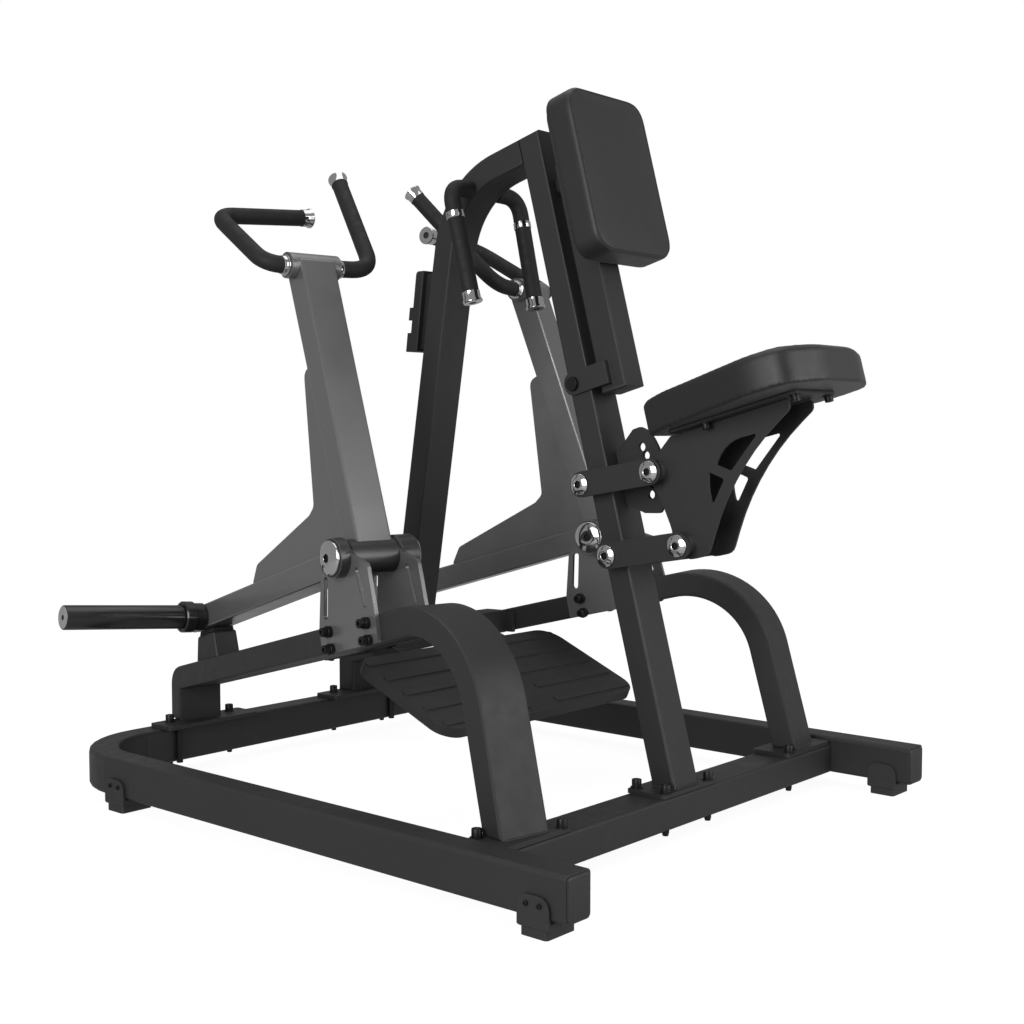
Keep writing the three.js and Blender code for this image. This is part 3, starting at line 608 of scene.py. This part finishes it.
def add_weight_sleeve(plane):
    """The round sleeve for plates, its collar and the disc that closes its end."""
    out, along, up = SLEEVE_ROOT
    start = plane.point(out, along - PIVOT_ALONG, up - PIVOT_UP)
    axis = sleeve_axis(plane)
    body = bmesh.new()
    length = SLEEVE_LENGTH
    turned(body, [
        (0, 0), (0.0295, 0), (0.0295, 0.023), (0.0315, 0.023), (0.033, 0.0245), (0.033, 0.0445),
        (0.0305, 0.047), (0.0275, 0.047), (0.0265, 0.0445), (0.025, 0.0445),
        (0.025, length - 0.003), (0.0238, length - 0.0012), (0, length - 0.0012),
    ], start, axis, 72)
    piece = keep(f"{plane.name}_sleeve_tube", body, "sleeve", plane.body)
    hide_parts(f"{plane.name}_weight_sleeve")
    disc = bmesh.new()
    turned(disc, [
        (0, 0), (0.0226, 0), (0.0222, 0.001), (0.0172, 0.001), (0.0168, 0.0003), (0.0156, 0.0003),
        (0.0152, 0.001), (0.0075, 0.0011), (0.0068, 0.0004), (0, 0.0004),
    ], start + axis * (length - 0.0012), axis, 56)
    keep(f"{plane.name}_sleeve_disc", disc, "end_disc", plane.body)
    fixing = bmesh.new()
    turned(fixing, socket_profile(0.0055, 0.0009, 0.5, 0.5), start + axis * (length - 0.0008), axis, 24)
    keep(f"{plane.name}_sleeve_screw", fixing, "screw", plane.body)


# ---------------------------------------------------------------- fasteners
def add_pivot_plate_bolts(plane):
    """Four screws through each pivot plate into the arch, in spacer sleeves."""
    shape = bmesh.new()
    spacer = 0.0068
    for along, up in PIVOT_BOLTS:
        for away in (1, -1):
            out = ARCH_OUT + away * PIVOT_PLATE_FACE
            seat = plane.point(out, along - PIVOT_ALONG - ARCH_BACK, up - PIVOT_UP)
            axis = plane.outward() * away
            turned(shape, [(0, 0), (0.0105, 0), (0.0105, 0.006), (0.0102, spacer), (0, spacer)],
                   seat, axis, 32)
            screw(shape, seat + axis * spacer, axis, 0.0085, 0.011)
    keep(f"{plane.name}_pivot_plate_bolts", shape, "screw", "root")


def add_base_bolts():
    """Screws through the welded base plates, with nuts under the tubes.

    The mast's plate has four, and each arch's rear plate has two, on a diagonal."""
    low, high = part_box("rear_crossbar")
    shape = bmesh.new()
    rear = (low.y + high.y) / 2
    reach = Vector((0.068, 0.032))
    all_four = ((-1, -1), (-1, 1), (1, -1), (1, 1))
    for centre, corners in ((-0.43, ((-1, 1), (1, -1))), (0, all_four), (0.43, ((1, 1), (-1, -1)))):
        for across, along in corners:
            spot = Vector((centre + across * reach.x, rear + along * reach.y, high.z + PLATE_THICK))
            screw(shape, spot, Z)
            nut(shape, Vector((spot.x, spot.y, low.z)), -Z, 0.0075, 0.005)
    front_low, front_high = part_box("front_crossbar")
    front = (front_low.y + front_high.y) / 2
    for distance in (-0.317, -0.157, 0.157, 0.317):
        spot = Vector((distance, front - 0.003, front_high.z + PLATE_THICK))
        screw(shape, spot, Z)
        nut(shape, Vector((spot.x, spot.y, front_low.z)), -Z, 0.0075, 0.005)
    for side in (-1, 1):
        foot = Vector((side * 0.317, front_low.y - 0.0075, front_low.z))
        height = front_high.z - front_low.z
        turned(shape, [(0, 0), (0.007, 0), (0.007, height), (0, height)], foot, Z, 24)
    keep("base_bolts", shape, "screw", "root")


def add_foot_screws():
    """Two small screws in each tab of each foot."""
    shape = bmesh.new()
    for name, side in SIDES:
        for place in ("rear", "front"):
            low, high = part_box(f"{name}_{place}_foot")
            middle = (low.y + high.y) / 2
            outer = high.x if side > 0 else low.x
            for dy in (-0.013, 0.013):
                seat = Vector((outer, middle + dy, 0.05))
                turned(shape, socket_profile(0.0042, 0.0026), seat, X * side, 20)
    keep("foot_screws", shape, "screw", "root")


def link_cap(shape, centre, axis):
    """A chrome bolt head with a turned ring and a hexagon socket."""
    turned(shape, [
        (0, 0), (0.0195, 0), (0.02, 0.0006), (0.02, 0.003), (0.0192, 0.004), (0.0165, 0.0046),
        (0.013, 0.0074), (0.0095, 0.0079), (0.0068, 0.0079), (0.0062, 0.0074), (0.0062, 0.0028), (0, 0.0028),
    ], centre, axis, 48)


def add_link_caps():
    """Bolt heads and shafts of the seat linkage, each on the body that carries it."""
    upper_mast = Vector(JOINTS["seat_height"]["pos_m"])
    lower_mast = Vector(JOINTS["lower_link_swing"]["pos_m"])
    upper_seat = Vector(JOINTS["seat_level"]["pos_m"])
    lower_seat = lower_mast + (upper_seat - upper_mast)
    shade_linings = bmesh.new()
    for label, centre in (("upper", upper_mast), ("lower", lower_mast)):
        for name, side in SIDES:
            shape = bmesh.new()
            link_cap(shape, centre + X * side * LINK_FACE, X * side)
            turned(shape, [(0, 0), (0.01, 0), (0.01, 0.026), (0, 0.026)],
                   centre + X * side * 0.0445, X * side, 32)
            piece = keep(f"{name}_{label}_link_cap", shape, "chrome", "root")
            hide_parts(f"{name}_{label}_link_bolt")
            # The dark lining in each bolt head's socket is painted shade.
            socket_shade_lining(shade_linings, centre + X * side * (LINK_FACE + 0.0079), X * side, 0.007)
    keep("mast_link_socket_shade", shade_linings, "screw", "root")
    for label, centre, body in (("upper", upper_seat, "upper_link"), ("lower", lower_seat, "lower_link")):
        shape = bmesh.new()
        for _, side in SIDES:
            link_cap(shape, centre + X * side * LINK_FACE, X * side)
            turned(shape, [(0, 0), (0.019, 0), (0.019, 0.0194), (0, 0.0194)],
                   centre + X * side * 0.0423, X * side, 40)
        turned(shape, [(0, 0), (0.01, 0), (0.01, 2 * LINK_FACE), (0, 2 * LINK_FACE)],
               centre - X * LINK_FACE, X, 32)
        piece = keep(f"{label}_seat_axle", shape, "chrome", body)
        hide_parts(f"{label}_seat_shaft")
        # Dark linings in the axle caps' sockets: painted shade.
        dark = bmesh.new()
        for _, side in SIDES:
            socket_shade_lining(dark, centre + X * side * (LINK_FACE + 0.0079), X * side, 0.007)
        keep(f"{label}_seat_axle_sockets", dark, "screw", body)


# ---------------------------------------------------------------- tube ends and welds
def add_rail_plugs():
    """Moulded plugs that close the rear ends of the two side rails."""
    wall = 0.0035
    for name, side in SIDES:
        low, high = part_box(f"{name}_rail")
        shape = bmesh.new()
        left, right = low.x + wall, high.x - wall
        bottom, top = low.z + wall, high.z - wall
        corners = ((left, bottom), (right, bottom), (right, top), (left, top))
        outline = pad_outline([(u, v, 0.007) for u, v in corners], 5)
        rings = []
        for depth, amount in ((0.0002, 0), (-0.0012, 0), (-0.0026, 0.0012), (-0.003, 0.003)):
            rings.append([shape.verts.new((spot.x, low.y + depth, spot.y))
                          for spot in inset(outline, amount)])
        for near, far in zip(rings, rings[1:]):
            for index in range(len(outline)):
                following = (index + 1) % len(outline)
                shape.faces.new([near[index], near[following], far[following], far[index]])
        shape.faces.new(rings[0])
        shape.faces.new(list(reversed(rings[-1])))
        keep(f"{name}_rail_plug", shape, "plastic", "root")


def weld_bead(shape, start, end, radius=0.0028):
    """A painted weld seam: overlapping ripples laid along a straight joint."""
    run = end - start
    count = max(2, round(run.length / 0.0034))
    path = []
    for index in range(count + 1):
        path.append(start + run * (index / count))
    rings = []
    tangent = run.normalized()
    normal = tangent.orthogonal().normalized()
    side = tangent.cross(normal)
    for index, spot in enumerate(path):
        swell = radius * (1.0 if index % 2 else 0.86)
        if index in (0, count):
            swell = radius * 0.4
        rings.append([shape.verts.new(spot + swell * (math.cos(a) * normal + math.sin(a) * side))
                      for a in (2 * math.pi * step / 8 for step in range(8))])
    for near, far in zip(rings, rings[1:]):
        for step in range(8):
            following = (step + 1) % 8
            shape.faces.new([near[step], near[following], far[following], far[step]])
    shape.faces.new(rings[0])
    shape.faces.new(list(reversed(rings[-1])))


def add_welds():
    """Seams where the mast and the arches' rear legs meet their base plates."""
    shape = bmesh.new()
    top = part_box("rear_crossbar")[1].z + PLATE_THICK
    half = MAST_HALF
    ends = [mast_point(0, back, (top - math.sin(LEAN) * back) / math.cos(LEAN)).y
            for back in (MAST_FRONT, MAST_REAR)]
    for end in ends:
        weld_bead(shape, Vector((-half + 0.004, end, top)), Vector((half - 0.004, end, top)))
    for side in (-1, 1):
        weld_bead(shape, Vector((side * half, ends[0], top)), Vector((side * half, ends[1], top)))
    for plane in PLANES:
        for along in (REAR_LEG_OUTER, REAR_LEG_INNER):
            foot = along + math.tan(LEAN) * top
            corners = [plane.point(ARCH_OUT + reach, foot - PIVOT_ALONG - ARCH_BACK, top - PIVOT_UP)
                       for reach in (-ARCH_HALF + 0.006, ARCH_HALF - 0.006)]
            weld_bead(shape, *corners)
    keep("weld_seams", shape, "frame_paint", "root", 80)


# ---------------------------------------------------------------- upholstery
def pad_outline(corners, steps=9):
    """Points of a closed outline whose corners are rounded: (u, v, radius)."""
    points = []
    count = len(corners)
    for index, (u, v, radius) in enumerate(corners):
        here = Vector((u, v))
        before = Vector(corners[index - 1][:2])
        after = Vector(corners[(index + 1) % count][:2])
        to_before = (before - here).normalized()
        to_after = (after - here).normalized()
        half = to_before.angle(to_after) / 2
        start = here + to_before * (radius / math.tan(half))
        end = here + to_after * (radius / math.tan(half))
        for step in range(steps + 1):
            share = step / steps
            towards = here * (2 * share * (1 - share))
            points.append(start * (1 - share) ** 2 + towards + end * share ** 2)
    return points


def inset(points, amount):
    """The outline moved inwards by an amount, along the corners' bisectors."""
    moved = []
    count = len(points)
    for index, here in enumerate(points):
        tangent = (points[(index + 1) % count] - points[index - 1]).normalized()
        moved.append(here + Vector((-tangent.y, tangent.x)) * amount)
    return moved


def cushion(outline, layers, place):
    """A closed shell through layers of (height, inset), each the outline at that height."""
    shape = bmesh.new()
    rings = []
    for height, amount in layers:
        rings.append([shape.verts.new(place(spot.x, spot.y, height)) for spot in inset(outline, amount)])
    count = len(outline)
    for near, far in zip(rings, rings[1:]):
        for index in range(count):
            following = (index + 1) % count
            shape.faces.new([near[index], near[following], far[following], far[index]])
    shape.faces.new(list(reversed(rings[0])))
    shape.faces.new(rings[-1])
    return shape


def make_active(piece):
    """Selects one piece alone."""
    for other in bpy.context.selected_objects:
        other.select_set(False)
    piece.select_set(True)
    bpy.context.view_layer.objects.active = piece


def apply_modifier(piece, name):
    """Bakes one modifier into the piece's mesh."""
    make_active(piece)
    bpy.ops.object.modifier_apply(modifier=name)


def inflate(piece, pressure, cap, hold):
    """Remeshes a pad, blows its face up as cloth, and keeps each point within cap of where it was.

    hold(point) is True where the cover is drawn tight over the foam's sides and doesn't move."""
    remesh = piece.modifiers.new("remesh", "REMESH")
    remesh.mode = "VOXEL"
    remesh.voxel_size = 0.004
    apply_modifier(piece, "remesh")
    smooth = piece.modifiers.new("smooth", "SMOOTH")
    smooth.iterations = 1
    apply_modifier(piece, "smooth")
    before = [point.co.copy() for point in piece.data.vertices]
    pinned = piece.vertex_groups.new(name="pinned")
    pinned.add([i for i, spot in enumerate(before) if hold(spot)], 1.0, "REPLACE")
    cloth = piece.modifiers.new("cloth", "CLOTH")
    settings = cloth.settings
    settings.use_pressure = True
    settings.uniform_pressure_force = pressure
    settings.effector_weights.gravity = 0
    settings.vertex_group_mass = "pinned"
    settings.tension_stiffness = 15
    settings.compression_stiffness = 15
    settings.bending_stiffness = 4
    settings.air_damping = 4
    scene = bpy.context.scene
    cloth.point_cache.frame_start = 1
    cloth.point_cache.frame_end = 20
    for number in range(1, 21):
        scene.frame_set(number)
    apply_modifier(piece, "cloth")
    scene.frame_set(1)
    for point, start in zip(piece.data.vertices, before):
        move = point.co - start
        if move.length > cap:
            point.co = start + move.normalized() * cap
    piece.vertex_groups.clear()
    relax = piece.modifiers.new("relax", "SMOOTH")
    relax.iterations = 3
    apply_modifier(piece, "relax")


def subdivide(piece):
    """Smooths a piece by one level of subdivision."""
    level = piece.modifiers.new("subdivision", "SUBSURF")
    level.levels = 1
    level.render_levels = 1
    apply_modifier(piece, "subdivision")


def upholster(name, node, outline, layers, place, body, hold):
    """A padded piece that stands for a CAD pad."""
    piece = keep(name, cushion(outline, layers, place), "upholstery", body, 70)
    inflate(piece, 4.0, 0.006, hold)
    subdivide(piece)
    piece.data.shade_smooth()
    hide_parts(node)
    return piece


def piping(name, outline, amount, height, place, radius, body):
    """A sewn welt that runs round a pad."""
    ring = [place(spot.x, spot.y, height) for spot in inset(outline, amount)]
    shape = bmesh.new()
    count = len(ring)
    sides = 10
    rows = []
    for index, spot in enumerate(ring):
        tangent = (ring[(index + 1) % count] - ring[index - 1]).normalized()
        first = (place(0, 0, 1) - place(0, 0, 0)).normalized()
        second = tangent.cross(first).normalized()
        rows.append([shape.verts.new(spot + radius * (math.cos(a) * first + math.sin(a) * second))
                     for a in (2 * math.pi * step / sides for step in range(sides))])
    for index in range(count):
        near, far = rows[index], rows[(index + 1) % count]
        for step in range(sides):
            following = (step + 1) % sides
            shape.faces.new([near[step], near[following], far[following], far[step]])
    return keep(name, shape, "upholstery", body, 80)


def add_chest_pad():
    """The upright chest pad: firm foam with a soft shoulder round its face."""
    half, low, high = 0.115, 0.93, 1.245
    front, rear = 0.5753, 0.637
    corner = 0.045
    outline = pad_outline([(-half, low, corner), (half, low, corner), (half, high, corner),
                           (-half, high, corner)])

    def place(u, v, height):
        return mast_point(u, height, v)

    layers = [(front, 0.004), (front + 0.003, 0.001), (front + 0.006, 0), (rear - 0.007, 0),
              (rear - 0.0045, 0.0006), (rear - 0.0016, 0.003), (rear, 0.0065), (rear, 0.012)]

    def hold(spot):
        back = spot.z * math.sin(LEAN) - (spot.y - MAST_ORIGIN_Y) * math.cos(LEAN)
        return back < rear - 0.0015

    upholster("chest_pad_cover", "chest_pad", outline, layers, place, "chest_support", hold)
    piping("chest_pad_welt", outline, 0.0058, rear - 0.0014, place, 0.0013, "chest_support")


def add_seat_pad():
    """The seat: narrow towards the mast, widest at its rear third, with a bevelled upper edge."""
    right = [(0.068, -0.616, 0.03), (0.1, -0.676, 0.15), (0.15, -0.888, 0.14), (0.138, -0.952, 0.045),
             (0.062, -0.98, 0.14)]
    left = [(-u, v, radius) for u, v, radius in reversed(right)]
    outline = list(reversed(pad_outline(right + left)))
    low, high = 0.5901, 0.6555

    def place(u, v, height):
        return MAST_TURN @ Vector((u, v, height)) + Y * MAST_ORIGIN_Y

    layers = [(low, 0.0018), (low + 0.0018, 0), (high - 0.0105, 0), (high - 0.0096, 0.0005),
              (high - 0.001, 0.0092), (high, 0.0112), (high, 0.016)]

    def hold(spot):
        return (MAST_TURN.inverted() @ (spot - Y * MAST_ORIGIN_Y)).z < high - 0.0015

    upholster("seat_pad_cover", "seat_pad", outline, layers, place, "seat", hold)


def add_seat_screws():
    """Screws that hold the seat's plate, seen under the pad."""
    shape = bmesh.new()
    down = (MAST_TURN @ -Z).normalized()
    for across in (-0.056, 0.056):
        for along in (-0.734, -0.915):
            seat = MAST_TURN @ Vector((across, along, 0.5838)) + Y * MAST_ORIGIN_Y
            screw(shape, seat, down, 0.0075, 0.009)
    keep("seat_plate_screws", shape, "screw", "seat")


# ---------------------------------------------------------------- stage
def add_camera():
    """The camera at the machine's left rear, at about the height of the seat."""
    camera = bpy.data.objects.new("camera", bpy.data.cameras.new("camera"))
    camera.location = CAMERA_PLACE + Y * MAST_ORIGIN_Y
    camera.rotation_euler = (math.radians(90 - CAMERA_PITCH), 0, math.radians(CAMERA_TURN))
    camera.data.lens = CAMERA_LENS
    bpy.context.scene.collection.objects.link(camera)
    bpy.context.scene.camera = camera


def add_light(name, place, target, size, power):
    """A square soft light that looks at a target."""
    light = bpy.data.lights.new(name, "AREA")
    light.shape = "SQUARE"
    light.size = size
    light.energy = power
    lamp = bpy.data.objects.new(name, light)
    lamp.location = place
    lamp.rotation_euler = (Vector(target) - Vector(place)).to_track_quat("-Z", "Y").to_euler()
    bpy.context.scene.collection.objects.link(lamp)


def seen_or_felt(tree, seen, felt):
    """One strength for what the camera sees, and another for the light that falls on the machine."""
    path = tree.nodes.new("ShaderNodeLightPath")
    span = tree.nodes.new("ShaderNodeMapRange")
    span.inputs["To Min"].default_value = felt
    span.inputs["To Max"].default_value = seen
    tree.links.new(path.outputs["Is Camera Ray"], span.inputs["Value"])
    return span.outputs["Result"]


def add_floor():
    """A plain pale floor, lit from within so that it meets the backdrop without a line."""
    paint = Nodes("floor", grey(0.12), 0.8)
    paint.set("Emission Color", (1, 1, 1, 1))
    strength = seen_or_felt(paint.tree, FLOOR_SEEN, FLOOR_FELT)
    paint.link(strength, paint.shader.inputs["Emission Strength"])
    shape = bmesh.new()
    bmesh.ops.create_grid(shape, x_segments=2, y_segments=2, size=30)
    mesh = bpy.data.meshes.new("floor")
    shape.to_mesh(mesh)
    shape.free()
    mesh.materials.append(paint.material)
    floor = bpy.data.objects.new("floor", mesh)
    floor.location.z = -0.0005
    bpy.context.scene.collection.objects.link(floor)


def add_studio():
    """A white backdrop round a darker room, with a large soft key from the camera's left."""
    world = bpy.data.worlds.new("studio")
    world.use_nodes = True
    background = world.node_tree.nodes["Background"]
    background.inputs["Color"].default_value = (1, 1, 1, 1)
    strength = seen_or_felt(world.node_tree, 1.0, ROOM_LIGHT)
    world.node_tree.links.new(strength, background.inputs["Strength"])
    bpy.context.scene.world = world
    bpy.context.scene.view_settings.view_transform = "Standard"
    middle = (0, 0, 0.6)
    add_light("key", (-3.6, -0.9, 1.5), middle, 2.2, 105)
    add_light("fill", (0.9, -3.6, 1.4), middle, 2.6, 72)
    add_light("top", (0, 0.2, 3.8), middle, 3.0, 40)
    add_floor()


# ---------------------------------------------------------------- the machine
add_camera()
add_studio()
finish_cad_nodes()
for lever_plane in PLANES:
    add_lever_grips(lever_plane)
    add_pivot_caps(lever_plane)
    add_weight_sleeve(lever_plane)
    add_pivot_plate_bolts(lever_plane)
add_fixed_grips()
add_base_bolts()
add_rail_plugs()
add_welds()
add_foot_screws()
add_link_caps()
add_chest_pad()
add_seat_pad()
add_seat_screws()
